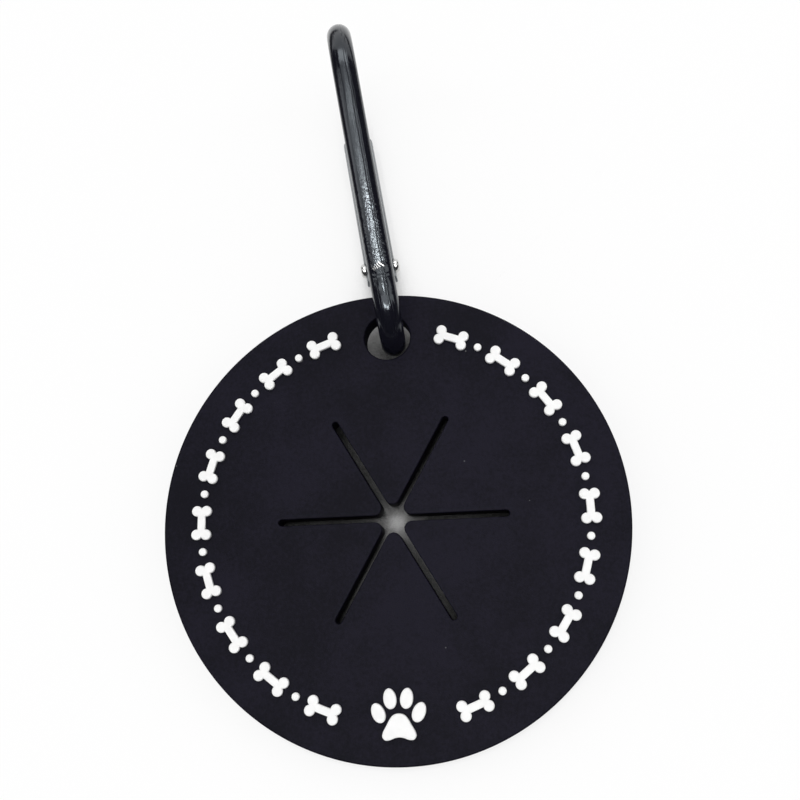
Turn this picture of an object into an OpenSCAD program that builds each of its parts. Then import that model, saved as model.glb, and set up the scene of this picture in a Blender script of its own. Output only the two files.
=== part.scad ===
// Used-bag carrier for dog walks: a soft moulded disc with a six-armed slit and an eyelet,
// hung from a small spring-gate carabiner. A tied bag's neck is pulled through the slit, and
// the six flaps grip it. The part lies on a table, printed face up, with the carabiner standing
// on its gate edge and linked through the eyelet, so that it lifts the disc a little.
// Millimetres. +Z is up, +Y runs from the disc to the carabiner. The origin is on the table,
// under the middle of the part's box.

/* [Disc] */
// Diameter of the moulded disc
disc_d = 90; // [84:1:110]
// Thickness of the moulded disc
disc_t = 5; // [4:0.5:6]
// Radius that rounds the disc's outer edges
disc_edge_r = 0.4; // [0.2:0.1:1]
// Diameter of the eyelet for the carabiner
eyelet_d = 9.2; // [8.6:0.1:10]
// Width of the bridge between the eyelet and the disc's edge
bridge_w = 4.2; // [3:0.2:4.4]
// Chamfer on the eyelet's two edges
eyelet_chamfer = 0.3; // [0.1:0.1:0.6]

/* [Slits and flaps] */
// Number of flaps, and of slits between them
flap_count = 6; // [6:1:6]
// Distance from the middle to a slit's outer end
slit_reach = 22.3; // [18:0.5:26]
// Width of a slit
slit_w = 1.25; // [1.1:0.05:2]
// Radius that rounds a flap's tip
tip_r = 1.45; // [1:0.05:2]
// Width of the strip that bends at a flap's root
bend_w = 2.9; // [2.6:0.1:5]

/* [Raised marks] */
// Height of the raised white marks
mark_h = 0.8; // [0.4:0.1:1.2]
// Distance from the disc's edge to the ring that the marks lie on
mark_inset = 7.6; // [6.8:0.2:12]
// Angle left free of marks on each side of the eyelet
eyelet_gap_a = 20; // [18:1:30]
// Angle left free of marks on each side of the paw
paw_gap_a = 22; // [20:1:30]
// Number of bones on each side
bone_count = 9; // [5:1:10]
// Length of a bone
bone_l = 6.6; // [5:0.2:8]
// Radius of a bone's knobs
bone_knob_r = 1.02; // [0.7:0.02:1.2]
// Half the distance between the two knobs of one end
bone_knob_y = 0.92; // [0.6:0.02:1.2]
// Width of a bone's shaft
bone_shaft_w = 1.5; // [1:0.1:2]
// Diameter of the dots between the bones
dot_d = 1.5; // [1:0.1:2]

/* [Paw] */
// Distance from the disc's edge to the middle of the paw's pad
paw_inset = 7; // [6:0.2:12]
// Radius of the pad's two lower lobes
pad_lobe_r = 1.45; // [1:0.05:1.6]
// Half the distance between the lower lobes
pad_lobe_x = 1.7; // [1.2:0.05:2]
// Radius of the pad's upper lobe
pad_top_r = 1.75; // [1.2:0.05:2]
// Height of the upper lobe's middle above the lower lobes' middle
pad_rise = 1.75; // [1.2:0.05:2.2]
// Depth of the notch between the lower lobes
pad_notch = 0.4; // [0.1:0.05:0.8]
// Depth of the pad's waist between the upper and the lower lobes
pad_waist = 0.15; // [0.1:0.05:0.4]
// Width of a toe
toe_w = 2.35; // [1.8:0.05:2.6]
// Length of a toe
toe_l = 3.6; // [3:0.1:4]
// Sideways place of the inner toes
toe_in_x = 1.55; // [1.4:0.05:2]
// Inner toes' place above the pad's middle
toe_in_y = 5.0; // [4.6:0.1:6]
// Sideways place of the outer toes
toe_out_x = 3.75; // [3.6:0.05:4.4]
// Outer toes' place above the pad's middle
toe_out_y = 2.55; // [2:0.05:3.4]
// Lean of the inner toes
toe_in_lean = 8; // [0:1:20]
// Lean of the outer toes
toe_out_lean = 24; // [10:1:40]

/* [Carabiner frame] */
// Diameter of the bent rod
rod_d = 5; // [4.4:0.1:5.4]
// Radius of the narrow bend, on the rod's centre line
small_bend_r = 7.8; // [7.6:0.1:9]
// Angle between the spine and the gate, which opens the wide end
spine_a = 12; // [8:1:14]
// Distance between the two bends' centres, along the gate
bend_gap = 46.4; // [46:0.2:60]
// Distance from the narrow bend's centre to the hinge rivet, along the gate
rivet_x = 12.4; // [12:0.1:14]
// Thickness of the flattened tongue at the hinge
hinge_tongue_t = 2.4; // [2:0.1:3]
// Height of the flattened tongue at the hinge
hinge_tongue_h = 4.6; // [4:0.1:4.8]
// Distance from the rivet's centre to the tongue's end face
hinge_tongue_end = 2.1; // [1.9:0.1:2.4]
// Thickness of the flattened nose
nose_t = 2.2; // [1.8:0.1:3]
// Height of the flattened nose
nose_h = 4.4; // [4:0.1:4.6]
// Length of the hook on the nose, from the latch pin's centre to its tip
nose_hook_l = 2.1; // [1.8:0.1:2.6]

/* [Gate] */
// Diameter of the gate's tube
gate_d = 6.5; // [6:0.1:7.2]
// Radius of the gate's rounded hinge end, about the rivet
gate_heel_r = 3.5; // [3.4:0.1:4]
// Distance from the rivet's centre to the gate's nose end
gate_l = 31.7; // [30:0.1:33]
// Radius that rounds the edge of the gate's nose end
gate_end_r = 0.8; // [0.3:0.1:1.2]
// Distance from the gate's nose end to the latch pin's centre
latch_inset = 2.4; // [2.2:0.1:3]
// Diameter of the latch pin
latch_d = 1.5; // [1.2:0.1:1.7]
// Diameter of the hinge rivet's shank
rivet_d = 2; // [1.6:0.1:2.2]
// Diameter of the hinge rivet's heads
rivet_head_d = 3; // [2.6:0.1:3.2]
// Height of a rivet head
rivet_head_h = 1.25; // [1:0.05:1.5]
// Depth of the flat spot under a rivet head, from the gate's crown
rivet_seat_depth = 0.4; // [0.3:0.05:0.6]

/* [Gate spring] */
// Diameter of the spring plunger
plunger_d = 2.9; // [2.4:0.1:3]
// Length of the spring plunger
plunger_l = 6; // [4:0.5:8]
// Length of the bore that holds the plunger and the spring
bore_l = 18; // [16:0.5:20]
// Diameter of the spring's wire
wire_d = 0.45; // [0.3:0.05:0.5]
// Outer diameter of the spring
spring_d = 2.75; // [2.2:0.05:2.8]
// Number of turns of the spring
spring_turns = 11; // [8:1:11]

/* [Fits] */
// Gap between the disc's bridge and the rod that carries it
seat_clearance = 0.3; // [0.2:0.05:0.5]
// Radial clearance of the tongue on the hinge rivet
pivot_clearance = 0.05; // [0.02:0.01:0.1]
// Gap on each side of a tongue in its slot
slot_clearance = 0.2; // [0.1:0.05:0.3]
// Gap between the gate's nose end and the frame
gate_end_gap = 0.35; // [0.3:0.05:0.6]
// Radial clearance of a pin held fast in the gate
held_clearance = 0.02; // [0.01:0.01:0.03]
// Radial clearance of the plunger in its bore
plunger_clearance = 0.1; // [0.05:0.05:0.15]
// Gap between the plunger's tip and the hinge tongue, and at both ends of the spring
spring_gap = 0.1; // [0.05:0.05:0.2]
// Gap on each side of the latch pin in the nose's notch
latch_clearance = 0.15; // [0.1:0.05:0.2]

/* [Rest pose] */
// Turn of the carabiner about the vertical, away from the disc's middle line
clip_yaw = 8.1; // [-15:0.1:15]
// Sideways lean of the carabiner
clip_lean = 2.6; // [-4:0.1:4]
// Sideways place of the narrow bend's centre
clip_x = 0.1; // [-0.3:0.1:0.3]

/* [Hidden] */
$fn = 96;
eps = 0.01;
through = 40;
disc_r = disc_d / 2;
eyelet_r = eyelet_d / 2;
eyelet_y = disc_r - bridge_w - eyelet_r;
flap_a = 360 / flap_count;

// The slits' end circles lie on a regular polygon's corners, and its sides are the roots
slit_end_r = slit_reach - slit_w / 2;
root_r = slit_end_r * cos(flap_a / 2);
flap_root_r = root_r - bend_w;
hinge_r = root_r - bend_w / 2;
tip_centre_r = (tip_r + slit_w / 2) / sin(flap_a / 2);

// The marks start and end clear of the eyelet and of the paw
mark_ring_r = disc_r - mark_inset;
paw_r = disc_r - paw_inset;
mark_from = 90 - eyelet_gap_a;
mark_to = -90 + paw_gap_a;
bone_step = (mark_from - mark_to) / (bone_count - 1);

// The rod's straights are a hair thinner than its bends and run a little way into them
rod_r = rod_d / 2;
straight_r = rod_r - 0.02;
straight_lap = 0.3;
gate_r = gate_d / 2;
wide_bend_r = small_bend_r + bend_gap * tan(spine_a / 2);
gate_y = -small_bend_r;
gate_heel_x = rivet_x - gate_heel_r;
gate_end_x = rivet_x + gate_l;
shoulder_x = gate_heel_x - gate_end_gap;
nose_x = gate_end_x + gate_end_gap;
latch_x = gate_end_x - latch_inset;
hook_x = latch_x - nose_hook_l;
tongue_corner_r = norm([hinge_tongue_end, hinge_tongue_h / 2]);
bore_x = rivet_x + tongue_corner_r + slot_clearance;
bore_end_x = rivet_x + bore_l + hinge_tongue_end;
plunger_x = rivet_x + hinge_tongue_end + spring_gap;
spring_x = plunger_x + plunger_l + spring_gap;
spring_l = bore_end_x - spring_gap - spring_x;
nose_slot_x = hook_x - gate_end_gap;

// Rest pose: the bridge sits just above the narrow bend, and the disc's far edge on the table
clip_z = gate_r + small_bend_r * cos(clip_lean);
carry_r = small_bend_r - rod_r - seat_clearance;
carry_h = sqrt(pow(carry_r, 2) - pow(bridge_w / 2, 2));
swing_y = disc_r - bridge_w / 2;
swing_z = carry_h - disc_t / 2;
tilt_reach = disc_r - disc_edge_r + swing_y;
tilt_rise = carry_h - disc_edge_r;
disc_tilt = asin((clip_z - disc_edge_r) / norm([tilt_reach, tilt_rise]))
    - atan2(tilt_rise, tilt_reach);
disc_z = (disc_r - disc_edge_r) * sin(disc_tilt)
    + (disc_t / 2 - disc_edge_r) * cos(disc_tilt) + disc_edge_r;
clip_y = swing_y * cos(disc_tilt) - swing_z * sin(disc_tilt);

// Ends of the part's box along Y, and its middle
box_low_y = -(disc_r - disc_edge_r) * cos(disc_tilt)
    - (disc_t / 2 - disc_edge_r) * sin(disc_tilt) - disc_edge_r;
lean_y = sin(clip_lean) * sin(clip_yaw);
box_high_y = clip_y + bend_gap * cos(clip_yaw) + (wide_bend_r - small_bend_r) * lean_y
    + wide_bend_r * norm([cos(clip_yaw), lean_y]) + rod_r;
mid_y = (box_low_y + box_high_y) / 2;

// Places what is drawn about the disc's centre, at mid-thickness, printed face up
module on_disc() {
    translate([0, -mid_y, disc_z])
        rotate([disc_tilt, 0, 0])
            children();
}

// Places what is drawn in the carabiner's plane: X along the gate, Y towards the spine,
// and the origin at the narrow bend's centre
module on_clip() {
    translate([clip_x, clip_y - mid_y, clip_z])
        rotate([0, 0, 90 + clip_yaw])
            rotate([90 + clip_lean, 0, 0])
                children();
}

// Outline of the opening that the flaps and the slits fill
module flap_field() {
    circle(r = slit_end_r, $fn = flap_count);
    for (k = [0 : flap_count - 1])
        rotate(k * flap_a)
            translate([slit_end_r, 0])
                circle(d = slit_w);
}

// Half the width of a flap at a distance from the disc's middle
function flap_half(r) = r * tan(flap_a / 2) - slit_w / 2 / cos(flap_a / 2);

module disc_body() {
    color([0.13, 0.13, 0.16])
        on_disc()
            difference() {
                rotate_extrude()
                    disc_profile();
                translate([0, eyelet_y, 0])
                    eyelet_cut();
                linear_extrude(through, center = true)
                    flap_field();
            }
}

// Half section of the disc, with both outer edges rounded
module disc_profile() {
    flat_h = disc_t - 2 * disc_edge_r;
    translate([0, -disc_t / 2])
        square([disc_r - disc_edge_r, disc_t]);
    translate([0, -flat_h / 2])
        square([disc_r, flat_h]);
    for (side = [-1, 1])
        translate([disc_r - disc_edge_r, side * flat_h / 2])
            circle(r = disc_edge_r);
}

// The eyelet's bore with a chamfer at each face
module eyelet_cut() {
    cylinder(r = eyelet_r, h = through, center = true);
    for (side = [0, 1])
        mirror([0, 0, side])
            translate([0, 0, disc_t / 2 - eyelet_chamfer])
                cylinder(
                    r1 = eyelet_r,
                    r2 = eyelet_r + eyelet_chamfer + eps,
                    h = eyelet_chamfer + eps
                );
}

// One flap, from its straight root to its rounded tip
module petal(k) {
    half = flap_half(flap_root_r);
    touch = [tip_centre_r - tip_r * sin(flap_a / 2), tip_r * cos(flap_a / 2)];
    color([0.15, 0.15, 0.18])
        on_disc()
            rotate((k - 0.5) * flap_a)
                linear_extrude(disc_t, center = true) {
                    polygon([
                        [flap_root_r, half], [touch.x, touch.y],
                        [touch.x, -touch.y], [flap_root_r, -half]
                    ]);
                    translate([tip_centre_r, 0])
                        circle(r = tip_r);
                }
}

// The strip of the moulding that bends where a flap joins the disc
module petal_root(k) {
    inner = flap_half(flap_root_r);
    outer = flap_half(root_r);
    color([0.12, 0.12, 0.15])
        on_disc()
            rotate((k - 0.5) * flap_a)
                linear_extrude(disc_t, center = true)
                    polygon([
                        [flap_root_r, inner], [flap_root_r, -inner],
                        [root_r, -outer], [root_r, outer]
                    ]);
}

// Raises an outline on the printed face
module raised() {
    color([0.96, 0.96, 0.95])
        on_disc()
            translate([0, 0, disc_t / 2])
                linear_extrude(mark_h)
                    children();
}

// Outline of one bone, along Y
module bone() {
    for (end = [-1, 1], side = [-1, 1])
        translate([side * bone_knob_y, end * (bone_l / 2 - bone_knob_r)])
            circle(r = bone_knob_r);
    square([bone_shaft_w, bone_l - 2 * bone_knob_r], center = true);
    for (end = [-1, 1])
        translate([0, end * (bone_l / 2 - bone_knob_r)])
            square([2 * bone_knob_y, bone_knob_r], center = true);
}

// Bones of one side: side is 1 on the right and -1 on the left
module bones(side) {
    raised()
        for (k = [0 : bone_count - 1])
            mirror([side < 0 ? 1 : 0, 0])
                rotate(mark_from - k * bone_step)
                    translate([mark_ring_r, 0])
                        bone();
}

// Dots of one side, halfway between the bones
module dots(side) {
    raised()
        for (k = [0 : bone_count - 2])
            mirror([side < 0 ? 1 : 0, 0])
                rotate(mark_from - (k + 0.5) * bone_step)
                    translate([mark_ring_r, 0])
                        circle(d = dot_d);
}

// The paw's pad: one upper lobe and two lower ones, joined by a body that leaves a shallow
// waist at each side and a notch below
module paw_pad() {
    top = [0, pad_rise / 2];
    lobe = [pad_lobe_x, -pad_rise / 2];
    way = lobe - top;
    normal_a = atan2(way.y, way.x) + acos((pad_top_r - pad_lobe_r) / norm(way));
    normal = [cos(normal_a), sin(normal_a)];
    high = top + (pad_top_r - pad_waist) * normal;
    wide = lobe + (pad_lobe_r - pad_waist) * normal;
    low = lobe.y - pad_lobe_r + pad_notch;
    raised()
        translate([0, top.y - paw_r])
            circle(r = pad_top_r);
    for (side = [-1, 1])
        raised()
            translate([side * lobe.x, lobe.y - paw_r])
                circle(r = pad_lobe_r);
    raised()
        translate([0, -paw_r])
            polygon([
                [-high.x, high.y], high, wide, [lobe.x, low], [-lobe.x, low], [-wide.x, wide.y]
            ]);
}

// Toe number k of four, from left to right
module paw_toe(k) {
    side = k < 3 ? -1 : 1;
    inner = k == 2 || k == 3;
    place = inner ? [toe_in_x, toe_in_y] : [toe_out_x, toe_out_y];
    lean = inner ? toe_in_lean : toe_out_lean;
    straight = toe_l - toe_w;
    raised()
        translate([side * place.x, place.y - paw_r])
            rotate(-side * lean) {
                square([toe_w, straight], center = true);
                for (end = [-1, 1])
                    translate([0, end * straight / 2])
                        circle(d = toe_w);
            }
}

// One bend of the rod, from a start angle through a sweep
module rod_bend(r, start, sweep) {
    rotate([0, 0, start])
        rotate_extrude(angle = sweep)
            translate([r, 0])
                circle(r = rod_r);
}

// A straight cylinder along X on the gate's line
module gate_line(r, from, to) {
    translate([from, gate_y, 0])
        rotate([0, 90, 0])
            cylinder(r = r, h = to - from);
}

// A flat plate on the gate's line, upright in the carabiner's plane
module gate_plate(from, to, h, t) {
    translate([from, gate_y - h / 2, -t / 2])
        cube([to - from, h, t]);
}

// A round pin across the gate's line
module cross_pin(x, r, l) {
    translate([x, gate_y, 0])
        cylinder(r = r, h = l, center = true);
}

module carabiner_frame() {
    spine_start = [small_bend_r * cos(90 + spine_a), small_bend_r * sin(90 + spine_a), 0];
    color([0.08, 0.08, 0.1])
        on_clip() {
            rod_bend(small_bend_r, 90 + spine_a, 180 - spine_a);
            translate(spine_start)
                rotate([0, 0, spine_a])
                    translate([-straight_lap, 0, 0])
                        rotate([0, 90, 0])
                            cylinder(r = straight_r, h = bend_gap + 2 * straight_lap);
            translate([bend_gap, wide_bend_r - small_bend_r, 0])
                rod_bend(wide_bend_r, -90, 180 + spine_a);
            hinge_end();
            nose_end();
        }
}

// Straight rod on the gate's line, flattened between two places
module flat_rod(from, to, flat_from, flat_to, h, t) {
    difference() {
        gate_line(straight_r, from, to);
        difference() {
            gate_plate(flat_from, flat_to, through, through);
            gate_plate(flat_from - 1, flat_to + 1, h, t);
        }
    }
}

// End of the rod that the gate turns on
module hinge_end() {
    end_x = rivet_x + hinge_tongue_end;
    difference() {
        flat_rod(-straight_lap, end_x, shoulder_x, end_x + 1, hinge_tongue_h, hinge_tongue_t);
        cross_pin(rivet_x, rivet_d / 2 + pivot_clearance, through);
    }
}

// Nose with the notch that the latch pin drops into from the inner side
module nose_end() {
    notch_w = latch_d + 2 * latch_clearance;
    difference() {
        flat_rod(hook_x, bend_gap + straight_lap, hook_x - 1, nose_x, nose_h, nose_t);
        cross_pin(latch_x, notch_w / 2, through);
        translate([latch_x - notch_w / 2, gate_y, -through / 2])
            cube([notch_w, nose_h, through]);
    }
}

// Half section of the gate's nose end, with its edge rounded, along X
module gate_profile() {
    square([gate_l - gate_end_r, gate_r]);
    square([gate_l, gate_r - gate_end_r]);
    translate([gate_l - gate_end_r, gate_r - gate_end_r])
        circle(r = gate_end_r);
}

module gate() {
    slot_t = hinge_tongue_t + 2 * slot_clearance;
    nose_slot_t = nose_t + 2 * slot_clearance;
    color([0.1, 0.1, 0.12])
        on_clip()
            difference() {
                union() {
                    translate([rivet_x, gate_y, 0])
                        rotate([0, 90, 0])
                            rotate_extrude()
                                rotate(90)
                                    mirror([0, 1])
                                        gate_profile();
                    intersection() {
                        gate_line(gate_r, gate_heel_x, rivet_x);
                        cross_pin(rivet_x, gate_heel_r, through);
                    }
                }
                gate_plate(gate_heel_x - 1, bore_x, through, slot_t);
                gate_plate(nose_slot_x, gate_end_x + 1, through, nose_slot_t);
                gate_line(plunger_d / 2 + plunger_clearance, bore_x - 1, bore_end_x);
                cross_pin(rivet_x, rivet_d / 2 + held_clearance, through);
                cross_pin(latch_x, latch_d / 2 + held_clearance, through);
                for (side = [-1, 1])
                    translate([rivet_x, gate_y, side * (gate_r - rivet_seat_depth + through / 2)])
                        cylinder(d = rivet_head_d + 0.4, h = through, center = true);
            }
}

// Shank and two low heads, riveted over on the gate's flat spots
module hinge_rivet() {
    seat_z = gate_r - rivet_seat_depth;
    round_h = rivet_head_h / 3;
    color([0.75, 0.76, 0.78])
        on_clip()
            translate([rivet_x, gate_y, 0]) {
                cylinder(d = rivet_d, h = 2 * seat_z, center = true);
                for (side = [0, 1])
                    mirror([0, 0, side])
                        translate([0, 0, seat_z]) {
                            cylinder(d = rivet_head_d, h = rivet_head_h - round_h);
                            translate([0, 0, rivet_head_h - round_h])
                                cylinder(
                                    d1 = rivet_head_d,
                                    d2 = rivet_head_d - 2 * round_h,
                                    h = round_h
                                );
                        }
            }
}

module latch_pin() {
    pin_l = 2 * sqrt(pow(gate_r, 2) - pow(latch_d / 2, 2));
    color([0.7, 0.71, 0.73])
        on_clip()
            cross_pin(latch_x, latch_d / 2, pin_l);
}

// The wire's path, from the plunger's end towards the nose
spring_r = (spring_d - wire_d) / 2;
curl_rings = 8;
wire_sides = 6;
spring_pitch = (spring_l - wire_d) / spring_turns;
spring_rings = spring_turns * curl_rings;
function spring_point(i) = [
    spring_x + wire_d / 2 + spring_pitch * i / curl_rings,
    spring_r * cos(360 * i / curl_rings),
    spring_r * sin(360 * i / curl_rings)
];

// Ring of points square to the wire at one step of its path
function wire_ring(i) =
    let (
        a = 360 * i / curl_rings,
        climb = atan(spring_pitch / (2 * PI * spring_r)),
        out = [0, cos(a), sin(a)],
        side = [cos(climb), sin(a) * sin(climb), -cos(a) * sin(climb)]
    )
    [
        for (s = [0 : wire_sides - 1])
            let (b = 360 * s / wire_sides)
            spring_point(i) + wire_d / 2 * (cos(b) * out + sin(b) * side)
    ];

// Least distance between turns, less the wire: one turn apart along the axis
spring_self_gap = spring_pitch * cos(atan(spring_pitch / (2 * PI * spring_r))) - wire_d;

module gate_spring() {
    rings = [for (i = [0 : spring_rings]) each wire_ring(i)];
    skin = [
        for (i = [0 : spring_rings - 1], s = [0 : wire_sides - 1])
            let (
                a = i * wire_sides + s,
                b = i * wire_sides + (s + 1) % wire_sides,
                c = a + wire_sides,
                d = b + wire_sides
            )
            each [[a, b, d], [a, d, c]]
    ];
    first_cap = [for (s = [1 : wire_sides - 2]) [0, s + 1, s]];
    last = spring_rings * wire_sides;
    last_cap = [for (s = [1 : wire_sides - 2]) [last, last + s, last + s + 1]];
    color([0.6, 0.61, 0.63])
        on_clip()
            translate([0, gate_y, 0])
                polyhedron(points = rings, faces = concat(skin, first_cap, last_cap));
}

module spring_plunger() {
    color([0.72, 0.73, 0.75])
        on_clip()
            gate_line(plunger_d / 2, plunger_x, plunger_x + plunger_l);
}

echo(least_gap_between_spring_turns = spring_self_gap);
echo(disc_centre = [0, -mid_y, disc_z], disc_tilt = disc_tilt);
echo(narrow_bend_centre = [clip_x, clip_y - mid_y, clip_z], mid_y = mid_y);
echo(flap_hinge_radius = hinge_r);

disc_body();
petal(1);  // petal_1
petal(2);  // petal_2
petal(3);  // petal_3
petal(4);  // petal_4
petal(5);  // petal_5
petal(6);  // petal_6
petal_root(1);  // petal_root_1
petal_root(2);  // petal_root_2
petal_root(3);  // petal_root_3
petal_root(4);  // petal_root_4
petal_root(5);  // petal_root_5
petal_root(6);  // petal_root_6
bones(-1);  // bones_left
bones(1);  // bones_right
dots(-1);  // dots_left
dots(1);  // dots_right
paw_pad();
paw_toe(1);  // paw_toe_1
paw_toe(2);  // paw_toe_2
paw_toe(3);  // paw_toe_3
paw_toe(4);  // paw_toe_4
carabiner_frame();
gate();
hinge_rivet();
latch_pin();
gate_spring();
spring_plunger();
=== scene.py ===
# %% [markdown]
# # A used-bag carrier for dog walks
#
# The real object is a soft black disc with a six-armed slit, hung from a small black
# carabiner. The neck of a tied bag is pulled into the slit, and six flaps grip it.
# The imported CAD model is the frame: it fixes every size, place and joint. This lesson
# dresses it, piece by piece, in the millimetres of the model's own drawings.

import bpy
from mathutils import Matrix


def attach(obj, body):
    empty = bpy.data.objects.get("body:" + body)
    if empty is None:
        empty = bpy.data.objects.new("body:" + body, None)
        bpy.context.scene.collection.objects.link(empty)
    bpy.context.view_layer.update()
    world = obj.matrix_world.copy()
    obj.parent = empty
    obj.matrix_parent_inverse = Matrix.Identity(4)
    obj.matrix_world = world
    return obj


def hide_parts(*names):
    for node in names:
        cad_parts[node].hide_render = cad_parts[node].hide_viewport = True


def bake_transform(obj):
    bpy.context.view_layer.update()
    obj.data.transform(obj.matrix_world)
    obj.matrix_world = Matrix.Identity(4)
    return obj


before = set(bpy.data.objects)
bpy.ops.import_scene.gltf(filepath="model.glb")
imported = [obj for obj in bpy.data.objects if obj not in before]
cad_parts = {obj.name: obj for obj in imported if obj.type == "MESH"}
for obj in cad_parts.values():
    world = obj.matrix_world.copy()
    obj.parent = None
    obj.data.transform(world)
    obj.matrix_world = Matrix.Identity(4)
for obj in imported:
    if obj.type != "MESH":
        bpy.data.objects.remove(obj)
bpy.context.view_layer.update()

# %% Tools of Blender that the lesson uses
import math

import bmesh
import bpy
from mathutils import Matrix, Vector
from mathutils.geometry import tessellate_polygon

# %% [markdown]
# ## Two places to draw in
#
# The disc lies tilted, because the carabiner's rod lifts one side of it. The carabiner
# stands on its gate edge, turned and leaning a little. Drawing tilted things directly is
# error-prone, so each piece is drawn flat in millimetres in one of two local places, and a
# matrix then puts its points where the CAD model has them. A piece that is still to be cut
# or copied stays in millimetres until that is done.

# %% The disc's place and the carabiner's place
MM = 0.001
DISC_CENTRE = Vector((0, -29.3078, 5.81539)) * MM
DISC_TILT = math.radians(4.27058)
BEND_CENTRE = Vector((0.1, 13.3214, 11.042)) * MM
CLIP_YAW = math.radians(8.1)
CLIP_LEAN = math.radians(2.6)

on_disc = Matrix.Translation(DISC_CENTRE) @ Matrix.Rotation(DISC_TILT, 4, "X")
on_clip = (
    Matrix.Translation(BEND_CENTRE)
    @ Matrix.Rotation(math.radians(90) + CLIP_YAW, 4, "Z")
    @ Matrix.Rotation(math.radians(90) + CLIP_LEAN, 4, "X")
)
to_clip = on_clip.inverted()
still_in_mm = Matrix.Scale(1 / MM, 4)
print("disc tilt", round(math.degrees(DISC_TILT), 2), "degrees")

# %% [markdown]
# ## The camera first
#
# The photograph looks down on the disc from about 18 cm above it, slightly from the lower
# right. The camera was solved from the outlines of the disc and the slits, and it is set
# before anything is made, so that every piece is judged from the right place. Its place is
# in the disc's own millimetres.

# %% Camera
CAMERA_PLACE = Vector((19.09, -20.22, 183.01))
CAMERA_RIGHT = Vector((0.99431, -0.03312, -0.10121))
CAMERA_UP = Vector((0.05561, 0.97202, 0.22822))
FOCAL_PIXELS = 946.93
PICTURE_PIXELS = 800
SENSOR_WIDTH = 36

camera_data = bpy.data.cameras.new("camera")
camera_data.sensor_width = SENSOR_WIDTH
camera_data.lens = FOCAL_PIXELS / PICTURE_PIXELS * SENSOR_WIDTH
camera_data.clip_start = 0.01
camera = bpy.data.objects.new("camera", camera_data)
bpy.context.scene.collection.objects.link(camera)
bpy.context.scene.camera = camera
turn = Matrix((CAMERA_RIGHT, CAMERA_UP, CAMERA_RIGHT.cross(CAMERA_UP))).transposed()
local_place = Matrix.Translation(CAMERA_PLACE * MM) @ turn.to_4x4()
camera.matrix_world = on_disc @ local_place
print("lens", round(camera_data.lens, 2), "mm, at", [round(v, 3) for v in camera.location])

# %% [markdown]
# ## Helpers for meshes
#
# Most pieces here are skins: rows of points that are joined by four-sided faces, then
# closed. Flat faces are shaded flat and rounded ones smooth, which keeps a large flat face
# free of false gradients without any modifier.


# %% Make a piece from a mesh, or from points and faces
def link_piece(name, mesh):
    """A new object that shows the mesh."""
    piece = bpy.data.objects.new(name, mesh)
    bpy.context.scene.collection.objects.link(piece)
    return piece


def make_piece(name, points, faces, place, flat=()):
    """A piece from points in millimetres, put in its place in the shared frame."""
    mesh = bpy.data.meshes.new(name)
    mesh.from_pydata([place @ (Vector(p) * MM) for p in points], [], faces)
    flat = set(flat)
    for face in mesh.polygons:
        face.use_smooth = face.index not in flat
    mesh.validate()
    mesh.update()
    print(name, len(mesh.vertices), "points,", len(mesh.polygons), "faces")
    return link_piece(name, mesh)


def plain_mesh(piece):
    """The piece with its modifiers applied, as a new plain mesh."""
    bpy.context.view_layer.update()
    evaluated = piece.evaluated_get(bpy.context.evaluated_depsgraph_get())
    return bpy.data.meshes.new_from_object(evaluated)


# %% Join rows of points with four-sided faces
def skin_rows(rows, closed=True):
    """Faces between rows of equal length, numbered row after row."""
    width = len(rows[0])
    faces = []
    for r in range(len(rows) - 1):
        for i in range(width if closed else width - 1):
            j = (i + 1) % width
            a, b = r * width, (r + 1) * width
            faces.append((a + i, b + i, b + j, a + j))
    return faces


def flatten(rows):
    """All points of the rows, one row after another."""
    return [point for row in rows for point in row]


# %% Points on an arc and round a circle
def arc(centre, radius, first, last, steps):
    """Points on an arc, with its angles in degrees."""
    angles = [math.radians(first + (last - first) * i / steps) for i in range(steps + 1)]
    return [
        (centre[0] + radius * math.cos(a), centre[1] + radius * math.sin(a)) for a in angles
    ]


def circle(centre, radius, count):
    """Points round a circle, from angle 0."""
    return arc(centre, radius, 0, 360 - 360 / count, count - 1)


# %% [markdown]
# ## Helpers for materials
#
# A material is a small network of nodes. These helpers keep each network short: they
# make a node with its values, start a material, do sums, mix two things and add a bump.
# Sums and mixes take plain values and other nodes' outputs alike.


# %% Nodes and materials
def add_node(tree, kind, **values):
    """A node with its properties and its inputs' values set."""
    node = tree.nodes.new(kind)
    for key, value in values.items():
        if hasattr(node, key):
            setattr(node, key, value)
        else:
            node.inputs[key.replace("_", " ")].default_value = value
    return node


def start_material(name, colour, roughness, **values):
    """A material with its shader's own sockets set, and its tree."""
    material = bpy.data.materials.new(name)
    material.use_nodes = True
    shader = material.node_tree.nodes["Principled BSDF"]
    shader.inputs["Base Color"].default_value = colour
    shader.inputs["Roughness"].default_value = roughness
    for key, value in values.items():
        shader.inputs[key.replace("_", " ")].default_value = value
    return material, material.node_tree, shader


# %% Sums and mixes
def feed(tree, value, socket):
    """Gives the socket a plain value, or another node's output."""
    if isinstance(value, bpy.types.NodeSocket):
        tree.links.new(value, socket)
    else:
        socket.default_value = value


def maths(tree, operation, *values):
    """The result of one sum."""
    node = add_node(tree, "ShaderNodeMath", operation=operation)
    for socket, value in zip(node.inputs, values):
        feed(tree, value, socket)
    return node.outputs["Value"]


def mix(tree, kind, share, first, second):
    """A mix of two numbers (FLOAT) or two colours (RGBA)."""
    node = add_node(tree, "ShaderNodeMix", data_type=kind)
    for key, value in (("Factor", share), ("A", first), ("B", second)):
        feed(tree, value, node.inputs[key])
    return node.outputs["Result"]


def spread(tree, source, low, high, to_low, to_high):
    """Maps a value from one range to another."""
    node = add_node(
        tree, "ShaderNodeMapRange",
        From_Min=low, From_Max=high, To_Min=to_low, To_Max=to_high,
    )
    tree.links.new(source, node.inputs["Value"])
    return node.outputs["Result"]


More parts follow.
